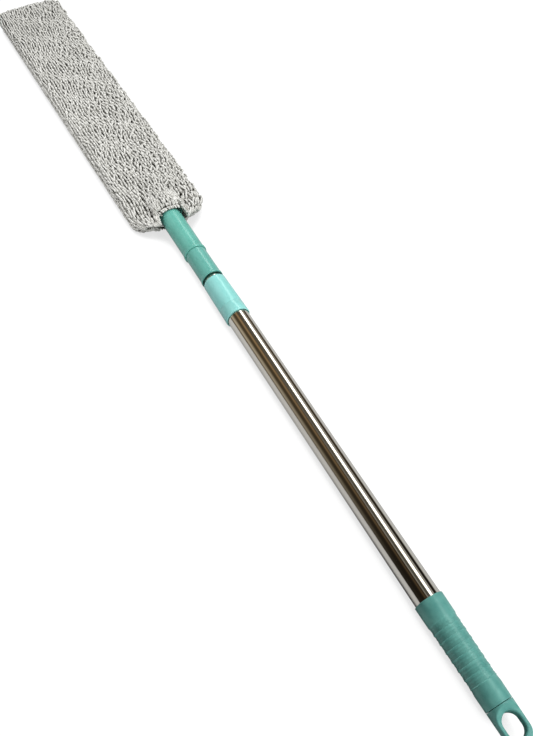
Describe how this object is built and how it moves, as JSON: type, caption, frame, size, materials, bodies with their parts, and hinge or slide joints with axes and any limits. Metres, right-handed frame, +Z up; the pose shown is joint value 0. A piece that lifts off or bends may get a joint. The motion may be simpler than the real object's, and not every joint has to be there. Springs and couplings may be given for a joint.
{
  "type": "microfiber duster",
  "caption": "Flat loop-pile duster head on a bendable paddle, screwed to a telescopic steel pole with a twist lock, a ribbed grip and a swivelling hanger cap.",
  "frame": {"origin": "centre of the bottom of the bounding box: under the middle of the retracted duster, on the surface that it lies on", "axes": "+X runs along the pole from the hanger cap to the head's tip, +Y across the flat head, +Z up out of the head's front face. The duster lies on the back of its sleeve, so the rest face is at Z = 0."},
  "size_m": [0.9128, 0.0764, 0.0294],
  "materials": {
    "grip_plastic": "satin teal moulding, faintly mottled",
    "teal_plastic": "glossy teal moulding",
    "turquoise_plastic": "glossy light turquoise moulding",
    "white_nylon": "plain white",
    "black_plastic": "plain black",
    "polished_steel": "mirror-polished stainless steel tube",
    "zinc_steel": "zinc-plated hardware",
    "loop_pile": "twisted microfiber loops in light grey-beige",
    "hem_tape": "whitish woven binding"
  },
  "bodies": {
    "outer_pole": {"outer_tube": "polished_steel", "joint_collar": "turquoise_plastic", "collar_guide_bush": "white_nylon", "grip": "grip_plastic", "end_plug": "white_nylon"},
    "hanger": {"hanger_cap": "grip_plastic"},
    "lock": {"lock_expander": "black_plastic"},
    "cone": {"lock_cone_nut": "black_plastic"},
    "inner_pole": {"inner_tube": "polished_steel", "lock_plug": "black_plastic", "lock_spindle": "zinc_steel", "lock_end_washer": "zinc_steel", "lock_end_nut": "zinc_steel", "pole_adapter": "teal_plastic"},
    "head": {"paddle": "teal_plastic"},
    "sleeve": {"sleeve_front_panel": "loop_pile", "sleeve_back_panel": "loop_pile", "sleeve_edge_seam": "hem_tape", "sleeve_opening_hem": "hem_tape"}
  },
  "joints": [
    {"name": "hanger_swivel", "type": "hinge", "parent": "outer_pole", "child": "hanger", "pos_m": [-0.4306, 0, 0.0116], "axis": [1, 0, 0], "continuous": true},
    {"name": "pole_extend", "type": "slide", "parent": "outer_pole", "child": "lock", "axis": [1, 0, 0], "range_m": [0, 0.24]},
    {"name": "pole_twist", "type": "hinge", "parent": "lock", "child": "inner_pole", "pos_m": [-0.3455, 0, 0.0116], "axis": [1, 0, 0], "range_deg": [0, 180]},
    {"name": "lock_cone_travel", "type": "slide", "parent": "lock", "child": "cone", "axis": [1, 0, 0], "range_m": [-0.0021, 0]},
    {"name": "head_pull_off", "type": "slide", "parent": "inner_pole", "child": "head", "axis": [1, 0, 0], "range_m": [0, 0.033]},
    {"name": "sleeve_pull_off", "type": "slide", "parent": "head", "child": "sleeve", "axis": [1, 0, 0], "range_m": [0, 0.41]}
  ],
  "couplings": [
    {"joint": "lock_cone_travel", "follows": "pole_twist", "m_per_rad": -0.00063662}
  ]
}
